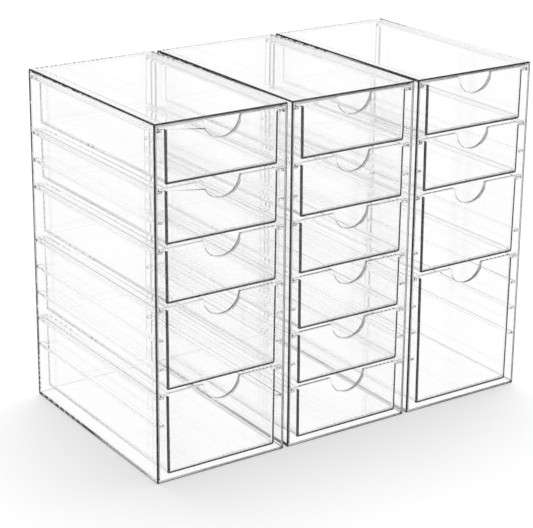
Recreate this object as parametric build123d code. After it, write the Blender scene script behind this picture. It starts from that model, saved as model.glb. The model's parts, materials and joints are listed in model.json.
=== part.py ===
from build123d import *
import os
from math import radians, tan

# Clear drawer organizer in millimetres: three free-standing towers with drawers that hang on rails.
#
# Each tower is one moulding, open at the front. Rails on its side walls divide its height into levels,
# and a drawer hangs on one pair of rails by the flanges along its top edges. Drawers come two, three or
# five levels tall, and all towers have the same rails, so any tower takes any set of drawers.
#
# X runs along the row, the drawers open towards -Y and Z is up. The origin lies under the middle of the
# row, on the surface that the towers stand on.

# Row of towers
tower_width = 106.4
tower_depth = 181.4
tower_height = 260.0
tower_gap = 3.3

# Drawers of each tower from the top down, in levels
drawer_levels = {
    "left": (2, 2, 2, 3, 3),
    "middle": (2, 2, 2, 2, 2, 2),
    "right": (2, 2, 3, 5),
}
level_count = sum(drawer_levels["middle"])

# Tower shell and its rails
shell_wall = 2.2
rail_levels = (0, 2, 3, 4, 6, 7, 8, 9, 10)
rail_reach = 4.5
rail_height = 2.0
rail_setback = 1.0

# Drawer mouldings
drawer_front = 2.2
drawer_wall = 2.0
drawer_floor = 2.0
flange_height = 2.1
floor_fillet = 1.0
tray_corner = 1.0
front_corner = 1.5
front_drop = 0.8
draft_angle = 0.5
notch_radius = 14.6
notch_rise = 0.8
notch_lip = 1.2

# Clearances
flange_side_gap = 0.7
rail_side_gap = 1.3
front_gap = 2.1
top_gap = 0.4
base_gap = 3.5
back_gap = 2.0

# Sizes that follow
bay_width = tower_width - 2 * shell_wall
bay_height = tower_height - 2 * shell_wall
level_pitch = (bay_height - base_gap - top_gap + front_gap) / level_count
tower_pitch = tower_width + tower_gap
flange_width = bay_width - 2 * flange_side_gap
drawer_half_width = bay_width / 2 - rail_reach - rail_side_gap
drawer_depth = tower_depth - shell_wall - back_gap


def front_plane(centre_x, height):
    """Plane of the drawer fronts, with X along the row and Y up. Depth runs against its normal."""
    return Plane(origin=(centre_x, -tower_depth / 2, height), x_dir=(1, 0, 0), z_dir=(0, -1, 0))


def run_back(section, plane, start, end):
    """Extrude a section from one depth behind the front plane to another."""
    return extrude(plane.offset(-start) * section, amount=start - end)


def drawer_top(level):
    """Height of the top edge of a drawer that hangs at a level. Level 0 is under the tower's top."""
    return tower_height - shell_wall - top_gap - level * level_pitch


def tower_shell(centre_x):
    """One tower: a box open at the front, with rails along both side walls."""
    front = front_plane(centre_x, 0)
    outline = Pos(0, tower_height / 2) * Rectangle(tower_width, tower_height)
    bay = Pos(0, tower_height / 2) * Rectangle(bay_width, bay_height)
    walls = run_back(outline - bay, front, 0, tower_depth - shell_wall)
    back = run_back(outline, front, tower_depth - shell_wall, tower_depth)

    # Each rail is rooted half way into the side wall and the back wall
    rail_root = shell_wall / 2
    rail_middle_x = (bay_width + rail_root - rail_reach) / 2
    rails = Sketch()
    for level in rail_levels:
        rail_middle_z = drawer_top(level) - flange_height - rail_height / 2
        for side in (-1, 1):
            place = Pos(side * rail_middle_x, rail_middle_z)
            rails += place * Rectangle(rail_reach + rail_root, rail_height)
    return walls + back + run_back(rails, front, rail_setback, tower_depth - rail_root)


def hanging_outline(half_width, height, corner):
    """Outline that hangs from the drawer's top edge, narrowed by the draft, with round lower corners."""
    half_foot = half_width - height * tan(radians(draft_angle))
    outline = Polygon(
        (-half_width, 0), (-half_foot, -height), (half_foot, -height), (half_width, 0), align=None
    )
    return fillet(outline.vertices().group_by(Axis.Y)[0], corner)


def notched(panel):
    """Cut the finger notch into a front panel's top edge and round the two corners that it leaves."""
    panel -= Pos(0, notch_rise) * Circle(notch_radius)
    top_corners = panel.vertices().group_by(Axis.Y)[-1].sort_by(Axis.X)
    return fillet(top_corners[1:-1], notch_lip)


def drawer(centre_x, level, levels_tall):
    """One drawer: front panel with notch, channel-shaped tray with flanges, and back wall."""
    front = front_plane(centre_x, drawer_top(level))
    height = levels_tall * level_pitch - front_gap
    tray_height = height - front_drop

    flanges = Pos(0, -flange_height / 2) * Rectangle(flange_width, flange_height)
    panel = hanging_outline(drawer_half_width, height, front_corner) + flanges
    tray = hanging_outline(drawer_half_width, tray_height, tray_corner) + flanges
    hollow = hanging_outline(drawer_half_width - drawer_wall, tray_height - drawer_floor, floor_fillet)

    back_start = drawer_depth - drawer_wall
    return (
        run_back(notched(panel), front, 0, drawer_front)
        + run_back(tray - hollow, front, drawer_front, back_start)
        + run_back(tray, front, back_start, drawer_depth)
    )


os.makedirs("parts", exist_ok=True)
first_centre = -tower_pitch * (len(drawer_levels) - 1) / 2
for position, (tower, drawers) in enumerate(drawer_levels.items()):
    centre_x = first_centre + position * tower_pitch
    export_step(tower_shell(centre_x), f"parts/{tower}_tower_shell.step")
    level = 0
    for number, levels_tall in enumerate(drawers, start=1):
        export_step(drawer(centre_x, level, levels_tall), f"parts/{tower}_drawer_{number}.step")
        level += levels_tall
print(f"tower {tower_width} x {tower_depth} x {tower_height} mm, levels {level_pitch:.2f} mm apart")
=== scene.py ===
# %% [markdown]
# # Clear drawer organizer
#
# Three free-standing acrylic towers hold fifteen hanging drawers. Everything on this object is clear, so
# what the eye reads is its edges: light that enters a rim runs on inside the wall and comes out somewhere
# else, and every edge turns into a fine grey or black line. For that the pieces need true wall thickness,
# closed skins and softly rounded edges, and the edges need painted shade of their own, in place of the
# dark surroundings that real rims show. This lesson builds both.

# %% Load the imported model
import json
import math

import bmesh
import bpy
from mathutils import Matrix, Vector

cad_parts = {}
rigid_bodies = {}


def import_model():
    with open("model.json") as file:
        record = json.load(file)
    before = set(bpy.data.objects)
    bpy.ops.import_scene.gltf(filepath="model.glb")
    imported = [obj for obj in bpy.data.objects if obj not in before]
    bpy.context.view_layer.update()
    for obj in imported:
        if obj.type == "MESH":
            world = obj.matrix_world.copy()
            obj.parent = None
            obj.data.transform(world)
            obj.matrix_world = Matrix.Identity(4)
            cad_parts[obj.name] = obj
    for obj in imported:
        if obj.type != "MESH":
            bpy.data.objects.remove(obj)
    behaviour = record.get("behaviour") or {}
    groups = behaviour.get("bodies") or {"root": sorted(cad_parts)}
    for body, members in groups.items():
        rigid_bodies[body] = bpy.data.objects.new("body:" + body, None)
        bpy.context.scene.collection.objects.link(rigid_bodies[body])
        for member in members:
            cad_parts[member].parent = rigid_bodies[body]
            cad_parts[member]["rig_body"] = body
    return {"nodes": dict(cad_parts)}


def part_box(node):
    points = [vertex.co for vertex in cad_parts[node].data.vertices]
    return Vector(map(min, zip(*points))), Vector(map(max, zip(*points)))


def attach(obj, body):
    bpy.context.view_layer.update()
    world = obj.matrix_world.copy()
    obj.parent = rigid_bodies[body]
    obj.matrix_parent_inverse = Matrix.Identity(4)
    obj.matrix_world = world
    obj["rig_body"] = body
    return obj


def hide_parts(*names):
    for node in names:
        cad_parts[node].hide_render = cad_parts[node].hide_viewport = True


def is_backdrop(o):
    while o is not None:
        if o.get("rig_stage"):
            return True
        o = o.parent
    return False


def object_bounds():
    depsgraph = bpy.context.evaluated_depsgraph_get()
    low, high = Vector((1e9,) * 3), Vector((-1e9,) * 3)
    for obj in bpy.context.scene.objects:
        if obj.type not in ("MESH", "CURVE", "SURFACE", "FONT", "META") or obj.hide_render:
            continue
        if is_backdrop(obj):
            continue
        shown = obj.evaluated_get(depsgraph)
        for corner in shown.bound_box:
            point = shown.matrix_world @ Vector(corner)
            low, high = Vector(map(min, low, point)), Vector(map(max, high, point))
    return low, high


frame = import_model()
scene = bpy.context.scene
cad_low, cad_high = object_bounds()
mm = 0.001
print("CAD box in mm:", [round(v / mm, 1) for v in (*cad_low, *cad_high)])

# %% [markdown]
# ## Camera
#
# The photograph looks down on the row from its left front. Edges that are parallel on the object draw
# together only a little, so the camera stands far back with a long lens. Its place is written as two
# angles and a distance, because those are what a photographer would note down. The organizer doesn't sit
# in the middle of the picture, which the lens shift takes care of without turning the camera.

# %% Stand the camera
picture_width = 533
tower_height = cad_high.z - cad_low.z
camera_azimuth = math.radians(-32.08)
camera_elevation = math.radians(17.79)
camera_roll = math.radians(-0.094)
camera_distance = 5.151 * tower_height
camera_aside = -0.2242 * tower_height
camera_raised = 0.1156 * tower_height
focal_pixels = 1758.47
shift_pixels = (63.92, -72.22)
sensor_width = 36
farthest_seen = 20

level_reach = math.cos(camera_elevation)
backward = Vector((
    math.sin(camera_azimuth) * level_reach,
    -math.cos(camera_azimuth) * level_reach,
    math.sin(camera_elevation),
))
rightward = Vector((math.cos(camera_azimuth), math.sin(camera_azimuth), 0))
upward = backward.cross(rightward)
turn = Matrix.Rotation(camera_roll, 3, backward)
rightward, upward = turn @ rightward, turn @ upward

camera = bpy.data.objects.new("camera", bpy.data.cameras.new("camera"))
scene.collection.objects.link(camera)
scene.camera = camera
stand = Matrix((rightward, upward, backward)).transposed().to_4x4()
stand.translation = (
    Vector((0, 0, tower_height / 2))
    + backward * camera_distance + rightward * camera_aside + upward * camera_raised
)
camera.matrix_world = stand
camera.data.sensor_width = sensor_width
camera.data.lens = focal_pixels * sensor_width / picture_width
camera.data.shift_x = shift_pixels[0] / picture_width
camera.data.shift_y = shift_pixels[1] / picture_width
camera.data.clip_end = farthest_seen
print(f"lens {camera.data.lens:.1f} mm, camera at", [round(v, 3) for v in camera.location])

# %% [markdown]
# ## Acrylic
#
# Clear acrylic bends light a little less than window glass and swallows almost none of it, apart from a
# faint cool tint along the length of a wall. A plain glass shader would be perfect and therefore look
# false: a moulded sheet has slow ripples from the flow of the melt, and a breath of haze where they swell.
# Both come from one stretched noise, far too shallow to feel. The tint sits in the volume, where it grows
# with the distance that light travels inside a wall.

# %% Two helpers for nodes
def feed(tree, socket, value):
    """Link a socket to another node's output, or give it a plain value."""
    if isinstance(value, bpy.types.NodeSocket):
        tree.links.new(value, socket)
    else:
        socket.default_value = value


def add_node(tree, kind, inputs, **settings):
    """Add a node, make its settings and feed its inputs, which are named or counted."""
    node = tree.nodes.new(kind)
    for name, value in settings.items():
        setattr(node, name, value)
    for name, value in inputs.items():
        feed(tree, node.inputs[name], value)
    return node


# %% Write the recipe for acrylic
acrylic_index = 1.49
ripple_strength = 0.02
ripple_depth = 0.2 * mm
haze_span = (0.5, 0.8)
most_haze = 0.004
tint_colour = (0.56, 0.58, 0.585, 1)
tint_density = 0.1
# Colour of the painted edge shade, which stands in for the dark surroundings that real rims show
painted_shade_colour = (0.015, 0.016, 0.017, 1)


def acrylic(name, stretch, painted_shade_share=0.0, matte=0.0):
    """Clear acrylic with ripples along the direction that is stretched least.

    A dark line of painted shade can be mixed over the clear surface by the given share, and matte is its
    least roughness.
    """
    material = bpy.data.materials.new(name)
    material.use_nodes = True
    tree = material.node_tree
    shader = tree.nodes["Principled BSDF"]
    shader.inputs["Base Color"].default_value = (1, 1, 1, 1)
    shader.inputs["Transmission Weight"].default_value = 1.0
    shader.inputs["IOR"].default_value = acrylic_index

    where = add_node(tree, "ShaderNodeTexCoord", {}).outputs["Object"]
    along = add_node(tree, "ShaderNodeMapping", {"Vector": where, "Scale": stretch}).outputs["Vector"]
    ripple = add_node(tree, "ShaderNodeTexNoise", {"Vector": along, "Scale": 1.0, "Detail": 1.0})
    bump = add_node(tree, "ShaderNodeBump", {
        "Height": ripple.outputs["Fac"], "Strength": ripple_strength, "Distance": ripple_depth,
    })
    feed(tree, shader.inputs["Normal"], bump.outputs["Normal"])
    haze = add_node(tree, "ShaderNodeMapRange", {
        "Value": ripple.outputs["Fac"], "From Min": haze_span[0], "From Max": haze_span[1],
        "To Min": matte, "To Max": matte + most_haze,
    })
    feed(tree, shader.inputs["Roughness"], haze.outputs["Result"])

    end = tree.nodes["Material Output"]
    tint = add_node(tree, "ShaderNodeVolumeAbsorption", {"Color": tint_colour, "Density": tint_density})
    feed(tree, end.inputs["Volume"], tint.outputs["Volume"])
    # Painted shade: a dark diffuse line mixed over the clear acrylic, where a real rim would show dark
    # surroundings
    if painted_shade_share:
        line = add_node(tree, "ShaderNodeBsdfDiffuse", {"Color": painted_shade_colour})
        covered = add_node(tree, "ShaderNodeMixShader", {
            0: painted_shade_share, 1: shader.outputs["BSDF"], 2: line.outputs["BSDF"],
        })
        feed(tree, end.inputs["Surface"], covered.outputs["Shader"])
    return material


# %% [markdown]
# ## Clear faces and edges with painted shade
#
# The ripples of a tower run upwards and those of a drawer from front to back, as the melt flowed. The edges
# are another matter. The real organizer stands in a room with dark corners, and its rims show them as dark
# lines. A white studio has no dark corners. A black ceiling would draw such lines too, but they would come
# and go with every turn of the object, so that shade is painted on the edges instead: the same acrylic under
# a painted dark shade, from a faint one to almost black. The matte one is also rough, and spreads the light
# that comes out of a wall's end, which would show as a row of bright and dark dashes.

# %% Mix the clear acrylic and the painted edge shades
even = (9, 9, 9)
clear_tower = acrylic("clear_tower", (9, 9, 5))
clear_drawer = acrylic("clear_drawer", (9, 5, 9))
# Painted edge shades, from almost black to faint; the matte one is rough as well
dark_rim_painted_shade = acrylic("dark_rim_painted_shade", even, painted_shade_share=0.9)
grey_rim_painted_shade = acrylic("grey_rim_painted_shade", even, painted_shade_share=0.38)
foot_rim_painted_shade = acrylic("foot_rim_painted_shade", even, painted_shade_share=0.18)
faint_rim_painted_shade = acrylic("faint_rim_painted_shade", even, painted_shade_share=0.03)
matte_rim_painted_shade = acrylic("matte_rim_painted_shade", even, painted_shade_share=0.04, matte=0.35)
rims = (dark_rim_painted_shade, grey_rim_painted_shade, foot_rim_painted_shade, faint_rim_painted_shade, matte_rim_painted_shade)
print("finishes:", *(m.name for m in (clear_tower, clear_drawer) + rims))

# %% [markdown]
# ## A bar with a hanging section
#
# Walls, floors, rails and flanges on this object are all straight bars with one section from front to
# back. So the first Geometry Nodes tree makes just that: a four-cornered outline that hangs from its top
# edge, narrowed towards its foot by the draft that lets a moulding leave its mould, with its lower corners
# rounded. Sweeping it along a line with closed ends gives a solid. The same bar is later a wall, a rail or
# the hollow that is cut out of one.

# %% Start, end and count in a tree
def start_tree(name, lengths, others=()):
    """A new Geometry Nodes tree with named inputs. Gives the tree and its inputs' sockets by name."""
    tree = bpy.data.node_groups.new(name, "GeometryNodeTree")
    for size in lengths:
        tree.interface.new_socket(size, in_out="INPUT", socket_type="NodeSocketFloat")
    for size, kind in others:
        tree.interface.new_socket(size, in_out="INPUT", socket_type=kind)
    tree.interface.new_socket("Geometry", in_out="OUTPUT", socket_type="NodeSocketGeometry")
    return tree, tree.nodes.new("NodeGroupInput").outputs


def end_tree(tree, geometry):
    """Give the geometry out of the tree."""
    add_node(tree, "NodeGroupOutput", {"Geometry": geometry})
    print(f"tree {tree.name}: {len(tree.nodes)} nodes")
    return tree


def calc(tree, operation, first, second):
    """One step of arithmetic."""
    return add_node(tree, "ShaderNodeMath", {0: first, 1: second}, operation=operation).outputs[0]


def point(tree, x, y, z):
    """A point from its three coordinates."""
    return add_node(tree, "ShaderNodeCombineXYZ", {0: x, 1: y, 2: z}).outputs[0]


def shifted(tree, base, x, y, z):
    """A point that lies off another one."""
    offset = point(tree, x, y, z)
    return add_node(tree, "ShaderNodeVectorMath", {0: base, 1: offset}, operation="ADD").outputs[0]


# %% Build the bar's tree
same_place = 0.001 * mm


def bar_tree():
    """A straight bar with a hanging section. A profile's Y points down once it is swept along Y."""
    tree, size = start_tree(
        "bar with hanging section",
        ("Half Width", "Height", "Rise", "Draft", "Corner", "Length"),
        (("Corner Steps", "NodeSocketInt"), ("Start", "NodeSocketVector")),
    )
    foot_draft = calc(tree, "MULTIPLY", size["Height"], size["Draft"])
    half_foot = calc(tree, "SUBTRACT", size["Half Width"], foot_draft)
    top_draft = calc(tree, "MULTIPLY", size["Rise"], size["Draft"])
    half_top = calc(tree, "ADD", size["Half Width"], top_draft)
    left_foot = calc(tree, "MULTIPLY", half_foot, -1.0)
    left_top = calc(tree, "MULTIPLY", half_top, -1.0)
    above = calc(tree, "MULTIPLY", size["Rise"], -1.0)
    outline = add_node(tree, "GeometryNodeCurvePrimitiveQuadrilateral", {
        "Point 1": point(tree, half_foot, size["Height"], 0.0),
        "Point 2": point(tree, left_foot, size["Height"], 0.0),
        "Point 3": point(tree, left_top, above, 0.0),
        "Point 4": point(tree, half_top, above, 0.0),
    }, mode="POINTS")

    # The outline's first two points are the ones at its foot
    number = add_node(tree, "GeometryNodeInputIndex", {}).outputs["Index"]
    at_foot = calc(tree, "LESS_THAN", number, 2.0)
    rounded = add_node(tree, "GeometryNodeFilletCurve", {
        "Curve": outline.outputs["Curve"],
        "Count": size["Corner Steps"],
        "Radius": calc(tree, "MULTIPLY", at_foot, size["Corner"]),
    }, mode="POLY")
    line = add_node(tree, "GeometryNodeCurvePrimitiveLine", {
        "Start": size["Start"], "End": shifted(tree, size["Start"], 0.0, size["Length"], 0.0),
    })
    swept = add_node(tree, "GeometryNodeCurveToMesh", {
        "Curve": line.outputs["Curve"], "Profile Curve": rounded.outputs["Curve"], "Fill Caps": True,
    })
    merged = add_node(tree, "GeometryNodeMergeByDistance", {
        "Geometry": swept.outputs["Mesh"], "Distance": same_place,
    })
    return end_tree(tree, merged.outputs["Geometry"])


hanging_bar = bar_tree()

# %% Use bars in other trees
corner_steps = 5


def bar(tree, start, half_width, height, length, rise=0.0, draft=0.0, corner=0.0):
    """Use the bar inside another tree."""
    return add_node(tree, "GeometryNodeGroup", {
        "Start": start, "Half Width": half_width, "Height": height, "Length": length,
        "Rise": rise, "Draft": draft, "Corner": corner, "Corner Steps": corner_steps,
    }, node_tree=hanging_bar).outputs["Geometry"]


def combine(tree, operation, first, *others):
    """Join solids into one, or cut the others out of the first."""
    node = add_node(tree, "GeometryNodeMeshBoolean", {}, operation=operation, solver="MANIFOLD")
    if operation == "DIFFERENCE":
        feed(tree, node.inputs["Mesh 1"], first)
    else:
        others = (first, *others)
    for mesh in others:
        tree.links.new(mesh, node.inputs["Mesh 2"])
    return node.outputs["Mesh"]


def finish_tree(tree, mesh, finish):
    """Every tree for a piece ends with real geometry in its own material."""
    real = add_node(tree, "GeometryNodeRealizeInstances", {"Geometry": mesh})
    coloured = add_node(tree, "GeometryNodeSetMaterial", {
        "Geometry": real.outputs["Geometry"], "Material": finish,
    })
    return end_tree(tree, coloured.outputs["Geometry"])


# %% [markdown]
# ## The hanging drawer
#
# All fifteen drawers follow one rule and differ in height alone. A front panel reaches a little lower than
# the tray behind it, two flanges along the top edge carry the drawer on its rails, and a round notch in the
# front is the finger pull. Modelling one by hand and stretching it would stretch the notch and the walls as
# well, so a tree with named sizes makes each of them at its true measures.

# %% Build the drawer's tree
def drawer_tree():
    """A front panel, a tray and two flanges in one, hollowed and notched."""
    tree, size = start_tree(
        "hanging drawer",
        ("Height", "Half Width", "Depth", "Front", "Wall", "Floor", "Front Drop", "Draft",
         "Flange Half Width", "Flange Height", "Front Corner", "Tray Corner", "Notch Radius", "Notch Rise"),
        (("Notch Steps", "NodeSocketInt"), ("Place", "NodeSocketVector"), ("Acrylic", "NodeSocketMaterial")),
    )
    tray_height = calc(tree, "SUBTRACT", size["Height"], size["Front Drop"])
    panel = bar(
        tree, size["Place"], size["Half Width"], size["Height"], size["Front"],
        draft=size["Draft"], corner=size["Front Corner"],
    )
    tray = bar(
        tree, size["Place"], size["Half Width"], tray_height, size["Depth"],
        draft=size["Draft"], corner=size["Tray Corner"],
    )
    flanges = bar(tree, size["Place"], size["Flange Half Width"], size["Flange Height"], size["Depth"])

    ends = calc(tree, "ADD", size["Front"], size["Wall"])
    hollow = bar(
        tree,
        shifted(tree, size["Place"], 0.0, size["Front"], 0.0),
        calc(tree, "SUBTRACT", size["Half Width"], size["Wall"]),
        calc(tree, "SUBTRACT", tray_height, size["Floor"]),
        calc(tree, "SUBTRACT", size["Depth"], ends),
        rise=size["Wall"], draft=size["Draft"], corner=size["Tray Corner"],
    )

    # The notch is a round bar through the front panel, longer than the panel at both ends
    circle = add_node(tree, "GeometryNodeCurvePrimitiveCircle", {
        "Radius": size["Notch Radius"], "Resolution": size["Notch Steps"],
    })
    half_front = calc(tree, "MULTIPLY", size["Front"], 0.5)
    before = calc(tree, "MULTIPLY", half_front, -1.0)
    beyond = calc(tree, "ADD", size["Front"], half_front)
    through = add_node(tree, "GeometryNodeCurvePrimitiveLine", {
        "Start": shifted(tree, size["Place"], 0.0, before, size["Notch Rise"]),
        "End": shifted(tree, size["Place"], 0.0, beyond, size["Notch Rise"]),
    })
    notch = add_node(tree, "GeometryNodeCurveToMesh", {
        "Curve": through.outputs["Curve"], "Profile Curve": circle.outputs["Curve"], "Fill Caps": True,
    })
    block = combine(tree, "UNION", panel, tray, flanges)
    drawer = combine(tree, "DIFFERENCE", block, hollow, notch.outputs["Mesh"])
    return finish_tree(tree, drawer, size["Acrylic"])


hanging_drawer = drawer_tree()

# %% [markdown]
# ## The tower with its rails
#
# A tower is a box that is open at the front. Rails on its side walls divide its height into equal levels,
# and any drawer hangs on any pair of rails. One bar is instanced on a line of points, one point for each
# level, and two levels that carry no rail are taken off the line first.

# %% Build the tower's tree
bare_levels = (1, 5)


def tower_tree():
    """An open box with a rail on both side walls at each level that isn't bare."""
    tree, size = start_tree(
        "tower with rails",
        ("Half Width", "Height", "Depth", "Wall", "First Rail", "Level Pitch",
         "Rail Reach", "Rail Height", "Rail Setback"),
        (("Level Count", "NodeSocketInt"), ("Place", "NodeSocketVector"), ("Acrylic", "NodeSocketMaterial")),
    )
    outer = bar(tree, size["Place"], size["Half Width"], size["Height"], size["Depth"])
    wall_above = calc(tree, "MULTIPLY", size["Wall"], -1.0)
    inner_half = calc(tree, "SUBTRACT", size["Half Width"], size["Wall"])
    bay = bar(
        tree,
        shifted(tree, size["Place"], 0.0, wall_above, wall_above),
        inner_half,
        calc(tree, "SUBTRACT", size["Height"], calc(tree, "MULTIPLY", size["Wall"], 2.0)),
        size["Depth"],
    )
    shell = combine(tree, "DIFFERENCE", outer, bay)

    # Each rail is rooted half way into the side wall and the back wall
    root = calc(tree, "MULTIPLY", size["Wall"], 0.5)
    rail = bar(
        tree, (0, 0, 0),
        calc(tree, "MULTIPLY", calc(tree, "ADD", size["Rail Reach"], root), 0.5),
        size["Rail Height"],
        calc(tree, "SUBTRACT", size["Depth"], calc(tree, "ADD", size["Rail Setback"], root)),
    )
    first_down = calc(tree, "MULTIPLY", size["First Rail"], -1.0)
    levels = add_node(tree, "GeometryNodeMeshLine", {
        "Count": size["Level Count"],
        "Start Location": shifted(tree, size["Place"], 0.0, size["Rail Setback"], first_down),
        "Offset": point(tree, 0.0, 0.0, calc(tree, "MULTIPLY", size["Level Pitch"], -1.0)),
    }, mode="OFFSET")
    number = add_node(tree, "GeometryNodeInputIndex", {}).outputs["Index"]
    bare = [calc(tree, "COMPARE", number, float(level)) for level in bare_levels]
    held = add_node(tree, "GeometryNodeDeleteGeometry", {
        "Geometry": levels.outputs["Mesh"], "Selection": calc(tree, "MAXIMUM", *bare),
    }, domain="POINT")
    rooted = calc(tree, "SUBTRACT", size["Rail Reach"], root)
    aside = calc(tree, "SUBTRACT", inner_half, calc(tree, "MULTIPLY", rooted, 0.5))
    both = add_node(tree, "GeometryNodeJoinGeometry", {})
    for side in (-1.0, 1.0):
        moved = add_node(tree, "GeometryNodeTransform", {
            "Geometry": held.outputs["Geometry"],
            "Translation": point(tree, calc(tree, "MULTIPLY", aside, side), 0.0, 0.0),
        })
        tree.links.new(moved.outputs["Geometry"], both.inputs["Geometry"])
    rails = add_node(tree, "GeometryNodeInstanceOnPoints", {
        "Points": both.outputs["Geometry"], "Instance": rail,
    })
    real_rails = add_node(tree, "GeometryNodeRealizeInstances", {"Geometry": rails.outputs["Instances"]})
    tower = combine(tree, "UNION", shell, real_rails.outputs["Geometry"])
    return finish_tree(tree, tower, size["Acrylic"])


tower_with_rails = tower_tree()

# %% [markdown]
# ## Round edges
#
# No edge of a moulding is sharp, and on clear plastic the rounding is what draws the edge line. One Bevel
# for all edges alike would be quick, but the outer edges of the real pieces are softer than the inner ones,
# and the short steps of a curve need no rounding at all. So every edge is marked with its own share of the
# widest rounding, and a single Bevel then rounds them all by that mark.

# %% Share out the rounding
outer_rounding = 1.0 * mm
top_rounding = 0.6 * mm
inner_rounding = 0.4 * mm
long_edge = 5 * mm
sharp_edge = math.radians(40)
flange_height = 2.1 * mm
tray_half_width = 45.2 * mm
hair = 0.01 * mm


def rounding_share(edge, low, high, notch):
    """How much of the outer rounding an edge gets. Only a drawer has a notch."""
    if edge.calc_face_angle(0) < sharp_edge:
        return 0.0
    ends = [v.co for v in edge.verts]
    if not notch:
        limits = sum(
            all(abs(end[axis] - limit[axis]) < hair for end in ends)
            for axis in range(3) for limit in (low, high)
        )
        return (outer_rounding if limits > 1 else inner_rounding) / outer_rounding
    if all(abs(end.y - low.y) < hair for end in ends):
        under_flange = high.z - max(end.z for end in ends) > flange_height - hair
        in_tray = max(abs(end.x - (low.x + high.x) / 2) for end in ends) < tray_half_width + hair
        return (outer_rounding if under_flange and in_tray else top_rounding) / outer_rounding
    return inner_rounding / outer_rounding if edge.is_convex and edge.calc_length() > long_edge else 0.0


print("roundings in mm:", *(round(r / mm, 1) for r in (outer_rounding, top_rounding, inner_rounding)))

# %% [markdown]
# ## Whole faces
#
# A tree hands over a skin of triangles, and a Bevel would stumble over each of their edges. So doubles are
# merged and triangles in one plane melt into whole faces first. The two corners that the notch leaves in a
# front's top edge are rounded here too, because that rounding is wider than any other on the piece.

# %% Melt triangles and mark edges
flat_edge = math.radians(0.3)
lip_steps = 4
lip_reach = 0.1 * mm
lip_depth = 1.0 * mm


def round_lips(solid, high, notch):
    """Round the two corners that the notch leaves in the front's top edge."""
    centre, radius, lip = notch
    half_span = math.sqrt(radius ** 2 - (centre.z - high.z) ** 2)

    def at_lip(place):
        return abs(abs(place.x - centre.x) - half_span) < lip_reach and high.z - place.z < hair

    lips = [
        edge for edge in solid.edges
        if all(at_lip(v.co) for v in edge.verts)
        and abs(edge.verts[0].co.y - edge.verts[1].co.y) > lip_depth
    ]
    bmesh.ops.bevel(
        solid, geom=lips, offset=lip, segments=lip_steps, profile=0.5, affect="EDGES", clamp_overlap=True
    )


def marked(mesh, low, high, notch):
    """Melt triangles into whole faces and mark what to round. Gives the number of open edges."""
    solid = bmesh.new()
    solid.from_mesh(mesh)
    bmesh.ops.remove_doubles(solid, verts=solid.verts, dist=same_place)
    bmesh.ops.dissolve_degenerate(solid, edges=solid.edges, dist=2 * same_place)
    bmesh.ops.dissolve_limit(solid, angle_limit=flat_edge, verts=solid.verts, edges=solid.edges)
    bmesh.ops.recalc_face_normals(solid, faces=solid.faces)
    if notch:
        round_lips(solid, high, notch)
    solid.normal_update()
    weight = solid.edges.layers.float.new("bevel_weight_edge")
    for edge in solid.edges:
        edge[weight] = rounding_share(edge, low, high, notch)
    loose = sum(len(edge.link_faces) != 2 for edge in solid.edges)
    solid.to_mesh(mesh)
    solid.free()
    return loose


# %% [markdown]
# ## Lines beside the edges
#
# A rounding alone is too thin for the lines that the real organizer shows. Where a wall, a floor or a back
# ends behind a clear face, that face looks dark as far as the end is thick. So narrow strips are cut off
# such faces by planes, and that shade is painted on them without any change of shape: along the sides
# and the foot of a drawer's front, along the foot and the back of its sides, and along the foot and the
# back of a tower's sides. A painted pattern could do it too, but a cut keeps the line crisp from near by.

# %% Cut strips off broad faces
flat_cosine = 0.9995
# Widths of the strips that carry painted edge shade
front_line = 1.8 * mm
foot_line = 2.9 * mm
back_line = 2.0 * mm
base_line = 2.6 * mm
end_line = 3.2 * mm
draft = math.radians(0.5)
inwards, upwards = (0, 1, 0), (0, 0, 1)


def faces_aside(face):
    """Whether a face looks straight to the left or the right."""
    return abs(face.normal.x) > flat_cosine


def tower_cuts(low, high):
    """Planes that cut strips off a tower's faces, each with a test for the faces that it cuts."""
    middle, half_width = (low.x + high.x) / 2, (high.x - low.x) / 2

    def outermost(face):
        return abs(abs(face.calc_center_median().x - middle) - half_width) < hair

    return [
        (faces_aside, (0, high.y - back_line, 0), inwards),
        (outermost, (0, high.y - end_line, 0), inwards),
        (outermost, (0, 0, low.z + base_line), upwards),
    ]


def drawer_cuts(low, high):
    """The same for a drawer. The sides of its front lean in by the draft."""
    def foremost(face):
        return face.calc_center_median().y - low.y < hair

    cuts = [
        (faces_aside, (0, high.y - back_line, 0), inwards),
        (faces_aside, (0, 0, low.z + foot_line), upwards),
    ]
    for height in (low.z + front_line, low.z + foot_line, high.z - flange_height):
        cuts.append((foremost, (0, 0, height), upwards))
    for side in (-1, 1):
        top_corner = ((low.x + high.x) / 2 + side * (tray_half_width - front_line), 0, high.z)
        lean = (side * math.cos(draft), 0, -math.sin(draft))
        cuts.append((foremost, top_corner, lean))
    return cuts


def scored(mesh, cuts):
    """Merge what the rounding left double and cut the faces by the planes."""
    solid = bmesh.new()
    solid.from_mesh(mesh)
    bmesh.ops.remove_doubles(solid, verts=solid.verts, dist=same_place)
    for wanted, place, across in cuts:
        faces = [face for face in solid.faces if wanted(face)]
        geometry = dict.fromkeys(faces)
        for face in faces:
            geometry.update(dict.fromkeys((*face.edges, *face.verts)))
        bmesh.ops.bisect_plane(solid, geom=list(geometry), plane_co=place, plane_no=across, dist=same_place)
        solid.normal_update()
    solid.to_mesh(mesh)
    solid.free()


print("strips in mm:", *(round(w / mm, 1) for w in (front_line, foot_line, back_line, base_line, end_line)))

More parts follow.
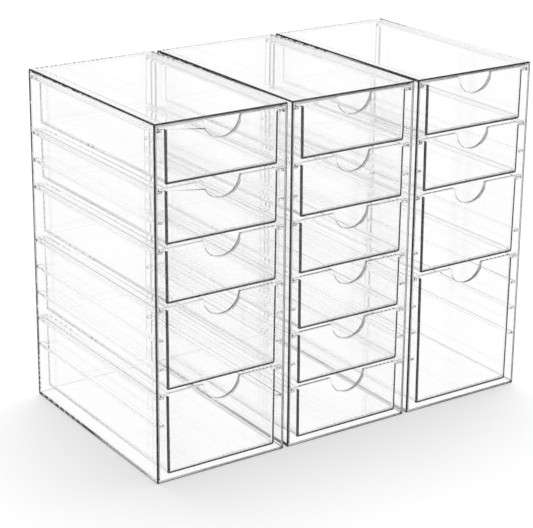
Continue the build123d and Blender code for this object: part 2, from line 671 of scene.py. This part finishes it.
# %% [markdown]
# ## Which face gets which painted shade
#
# A face's place in its piece's box and the way it looks say what it is: a rounding between two outer sides
# of a tower is an outer edge and gets the dark painted shade, one inside gets a faint painted line, and the
# front rim gets the matte finish with a faint painted shade. On a drawer the dark painted line runs round
# the front like a frame, open at the top, where the notch and the flanges have the matte finish with its
# faint painted shade. The flanges' outer edges, the trays' feet and the back ends get grey painted shade.
# Picking faces by hand would be lost with every change of size, and a rule isn't.

# %% Choose the painted edge shade of a tower's face
def is_flat(face):
    """Whether a face looks straight along one of the three axes, as no rounding does."""
    return max(abs(part) for part in face.normal) > flat_cosine


def tower_rim(face, low, high):
    """The painted edge shade of a face beside an edge, or None for a clear face."""
    place = face.center
    from_front, from_back = place.y - low.y, high.y - place.y
    if not is_flat(face):
        limits = sum(
            min(place[axis] - low[axis], high[axis] - place[axis]) < outer_rounding for axis in range(3)
        )
        if limits > 1:
            return dark_rim_painted_shade
        return matte_rim_painted_shade if from_front < outer_rounding else faint_rim_painted_shade
    if from_front < hair:
        return matte_rim_painted_shade
    outermost = min(place.x - low.x, high.x - place.x) < hair
    if not (outermost and faces_aside(face)):
        return None
    if from_back < back_line:
        return dark_rim_painted_shade
    return grey_rim_painted_shade if place.z - low.z < base_line or from_back < end_line else None


# %% Choose the painted edge shade of a drawer's face
front_thickness = 2.2 * mm
tray_corner = 1.0 * mm
side_reach = 0.1 * mm
upward_share = 0.15


def front_rim(to_side, to_foot):
    """The painted edge shade of a strip of the front, below the flanges."""
    if min(to_side, to_foot) < front_line:
        return dark_rim_painted_shade
    return matte_rim_painted_shade if to_foot < foot_line else None


def tray_rim(face, to_flange_end, to_top, to_side, to_foot):
    """The painted edge shade of a rounding behind the front."""
    if is_flat(face):
        return None
    if max(to_flange_end, to_top) < inner_rounding:
        return grey_rim_painted_shade
    return foot_rim_painted_shade if to_foot < foot_line and to_side < tray_corner else None


def drawer_rim(face, low, high, notch):
    """The painted edge shade of a face beside an edge, or None for a clear face."""
    place = face.center
    from_front, to_foot, to_top = place.y - low.y, place.z - low.z, high.z - place.z
    to_side = tray_half_width - to_top * math.tan(draft) - abs(place.x - (low.x + high.x) / 2)
    if abs(face.normal.y) > flat_cosine:
        return None if from_front > hair or to_top < flange_height else front_rim(to_side, to_foot)
    if faces_aside(face) and abs(to_side) < side_reach:
        if high.y - place.y < back_line:
            return grey_rim_painted_shade
        return foot_rim_painted_shade if to_foot < foot_line else None
    if from_front > front_thickness:
        return tray_rim(face, min(place.x - low.x, high.x - place.x), to_top, to_side, to_foot)
    centre, radius, _ = notch
    from_notch = math.hypot(place.x - centre.x, place.z - centre.z) - radius
    if from_notch < top_rounding or face.normal.z > upward_share:
        return matte_rim_painted_shade
    return None if is_flat(face) or from_front > outer_rounding else dark_rim_painted_shade


# %% [markdown]
# ## From tree to piece
#
# The piece that leaves this lesson should be a plain mesh: no live tree, no instances, one closed skin. So
# an object borrows the tree, its result is taken as a mesh, and the modifier goes again. Rounding and
# normals are made in the same way. Weighted Normal lets the broad faces rule the normals along their rims,
# because one tilted normal on a flat wall would bend everything that is seen through it.

# %% Grow and soften a piece
rounding_steps = 4
broad_face_weight = 100


def taken_mesh(carrier):
    """The carrier's evaluated shape as a plain mesh. The modifiers that made it are removed."""
    seen = carrier.evaluated_get(bpy.context.evaluated_depsgraph_get())
    mesh = bpy.data.meshes.new_from_object(seen)
    carrier.modifiers.clear()
    return mesh


def grow(piece, tree, sizes):
    """Run a tree with its sizes on the piece."""
    making = piece.modifiers.new("making", "NODES")
    making.node_group = tree
    for socket in tree.interface.items_tree:
        if socket.in_out == "INPUT":
            making[socket.identifier] = sizes[socket.name]
    piece.data = taken_mesh(piece)


def soften(piece, cuts):
    """Round the marked edges, cut the strips and let broad faces rule the normals."""
    rounding = piece.modifiers.new("rounding", "BEVEL")
    rounding.limit_method = "WEIGHT"
    rounding.width = outer_rounding
    rounding.segments = rounding_steps
    rounding.use_clamp_overlap = False
    piece.data = taken_mesh(piece)
    scored(piece.data, cuts)
    piece.data.shade_smooth()
    piece.data.set_sharp_from_angle(angle=sharp_edge)
    ruling = piece.modifiers.new("broad faces rule", "WEIGHTED_NORMAL")
    ruling.mode = "FACE_AREA"
    ruling.weight = broad_face_weight
    ruling.keep_sharp = True
    piece.data = taken_mesh(piece)


# %% Make a piece
def make_piece(name, tree, sizes, node, notch=None):
    """Run a tree with its sizes, finish the mesh and let it stand for a CAD node."""
    low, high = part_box(node)
    piece = bpy.data.objects.new(name, bpy.data.meshes.new(name))
    scene.collection.objects.link(piece)
    grow(piece, tree, sizes)
    loose = marked(piece.data, low, high, notch)
    soften(piece, drawer_cuts(low, high) if notch else tower_cuts(low, high))
    piece.data.name = name

    # Each face takes the clear acrylic or one of the painted edge shades
    piece.data.materials.clear()
    clear = sizes["Acrylic"]
    clear_and_painted_shades = [clear, *rims]
    for material in clear_and_painted_shades:
        piece.data.materials.append(material)
    for face in piece.data.polygons:
        rim = drawer_rim(face, low, high, notch) if notch else tower_rim(face, low, high)
        face.material_index = clear_and_painted_shades.index(rim or clear)
    body = frame["nodes"][node]["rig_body"]
    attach(piece, body)
    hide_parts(node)
    print(f"{name}: {len(piece.data.polygons)} faces, {loose} open edges")


# %% [markdown]
# ## Towers
#
# Each tower stands in the box of its CAD solid, so width, depth and height are read from there. Only the
# measures that no box shows, such as the wall and the rails, are written here.

# %% Make the towers
wall = 2.2 * mm
level_pitch = 21.15 * mm
level_count = 11
top_gap = 0.4 * mm

for side in ("left", "middle", "right"):
    node = f"{side}_tower_shell"
    low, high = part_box(node)
    make_piece(f"{side}_tower", tower_with_rails, {
        "Place": Vector(((low.x + high.x) / 2, low.y, high.z)),
        "Half Width": (high.x - low.x) / 2,
        "Height": high.z - low.z,
        "Depth": high.y - low.y,
        "Wall": wall,
        "First Rail": wall + top_gap + flange_height,
        "Level Pitch": level_pitch,
        "Level Count": level_count,
        "Rail Reach": 4.5 * mm,
        "Rail Height": 2.0 * mm,
        "Rail Setback": 1.0 * mm,
        "Acrylic": clear_tower,
    }, node)

# %% [markdown]
# ## Drawers
#
# The drawers hang on the rails with their flanges. Two clear faces that touch exactly would leave the
# renderer guessing which one a ray meets first, and real ones never lie on each other that closely, so the
# flange is thinner than the CAD's by a hair of air.

# %% Make the drawers
seat_air = 0.08 * mm
notch_radius = 14.6 * mm
notch_rise = 0.8 * mm
notch_lip = 1.2 * mm

for node in sorted(name for name in frame["nodes"] if "_drawer_" in name):
    low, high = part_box(node)
    middle = Vector(((low.x + high.x) / 2, low.y, high.z))
    notch_centre = middle + Vector((0, 0, notch_rise))
    make_piece(node.replace("_drawer_", "_hanging_drawer_"), hanging_drawer, {
        "Place": middle,
        "Height": high.z - low.z,
        "Half Width": tray_half_width,
        "Depth": high.y - low.y,
        "Front": front_thickness,
        "Wall": 2.0 * mm,
        "Floor": 2.0 * mm,
        "Front Drop": 0.8 * mm,
        "Draft": math.tan(draft),
        "Flange Half Width": (high.x - low.x) / 2,
        "Flange Height": flange_height - seat_air,
        "Front Corner": 1.5 * mm,
        "Tray Corner": tray_corner,
        "Notch Radius": notch_radius,
        "Notch Rise": notch_rise,
        "Notch Steps": 44,
        "Acrylic": clear_drawer,
    }, node, notch=(notch_centre, notch_radius, notch_lip))

# %% [markdown]
# ## Floor
#
# The organizer stands on a white surface that runs on as the background, with a pale shadow close to its
# base. A floor lit only by lamps would turn grey, so part of its white is its own. For rays that look at it
# directly, the other part is lit and carries the shadow. For rays that come through the acrylic almost all
# of it is its own white, because the photograph shows no shadow there. A hair of air lies under the towers,
# so that no two faces lie in one plane.

# %% Lay the floor
floor_reach = 4.0
floor_air = 0.5 * mm
paper_white = (0.97, 0.97, 0.97, 1)
own_white = 0.6
own_white_inside = 0.98

floor_corners = ((-1, -1), (1, -1), (1, 1), (-1, 1))
floor_mesh = bpy.data.meshes.new("floor")
floor_mesh.from_pydata(
    [(x * floor_reach, y * floor_reach, cad_low.z - floor_air) for x, y in floor_corners], [], [(0, 1, 2, 3)]
)
floor = bpy.data.objects.new("floor", floor_mesh)
scene.collection.objects.link(floor)
floor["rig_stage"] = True

paper = bpy.data.materials.new("white_paper")
paper.use_nodes = True
tree = paper.node_tree
tree.nodes.remove(tree.nodes["Principled BSDF"])
lit = add_node(tree, "ShaderNodeBsdfDiffuse", {"Color": paper_white})
own = add_node(tree, "ShaderNodeEmission", {"Color": (1, 1, 1, 1), "Strength": 1.0})
path = add_node(tree, "ShaderNodeLightPath", {}).outputs
inside = calc(tree, "MAXIMUM", path["Is Glossy Ray"], path["Is Transmission Ray"])
share = calc(
    tree, "MAXIMUM",
    calc(tree, "MULTIPLY", path["Is Camera Ray"], own_white),
    calc(tree, "MULTIPLY", inside, own_white_inside),
)
sheet = add_node(tree, "ShaderNodeMixShader", {0: share, 1: lit.outputs[0], 2: own.outputs[0]})
feed(tree, tree.nodes["Material Output"].inputs["Surface"], sheet.outputs[0])
floor_mesh.materials.append(paper)
print("floor of", 2 * floor_reach, "m")

# %% [markdown]
# ## Light
#
# Clear things are lit by what stands round them. The surroundings are plain white for every ray that looks
# at them, straight, mirrored or through the acrylic, so that flat faces turn white as in the photograph.
# As a lamp they are weaker, because the paper would lose its shadow in light from all sides. That
# shadow comes from one broad lamp overhead, a little to the back and the right. It doesn't show as a bright
# spot in the acrylic. Light runs a long way inside clear walls, which takes many more bounces than usual.

# %% Light the studio
room_light = 0.4
lamp_breadth = math.radians(45)
lamp_strength = 2.7
lamp_tilt = (math.radians(-13), math.radians(12), 0)
most_bounces = 256

world = bpy.data.worlds.new("studio")
scene.world = world
world.use_nodes = True
tree = world.node_tree
path = add_node(tree, "ShaderNodeLightPath", {}).outputs
looked_at = path["Is Camera Ray"]
for kind in ("Is Glossy Ray", "Is Transmission Ray"):
    looked_at = calc(tree, "MAXIMUM", looked_at, path[kind])
background = tree.nodes["Background"].inputs
feed(tree, background["Color"], (1, 1, 1, 1))
feed(tree, background["Strength"], calc(tree, "MAXIMUM", looked_at, room_light))

lamp = bpy.data.objects.new("soft_lamp", bpy.data.lights.new("soft_lamp", "SUN"))
lamp.data.angle = lamp_breadth
lamp.data.energy = lamp_strength
lamp.rotation_euler = lamp_tilt
lamp.visible_glossy = False
lamp.visible_transmission = False
scene.collection.objects.link(lamp)

scene.view_settings.view_transform = "Standard"
scene.cycles.max_bounces = most_bounces
scene.cycles.transmission_bounces = most_bounces
scene.cycles.glossy_bounces = most_bounces
scene.cycles.transparent_max_bounces = 32
print("room light", room_light, "and a lamp of", lamp_strength)

# %% [markdown]
# ## Sizes and finish
#
# The dressed object has to stay inside the CAD model's box. Both boxes are written down for comparison.

# %% Write the sizes and finish
low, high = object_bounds()
print("grown by in mm:", [round((a - b) / mm, 3) for a, b in zip((*low, *high), (*cad_low, *cad_high))])
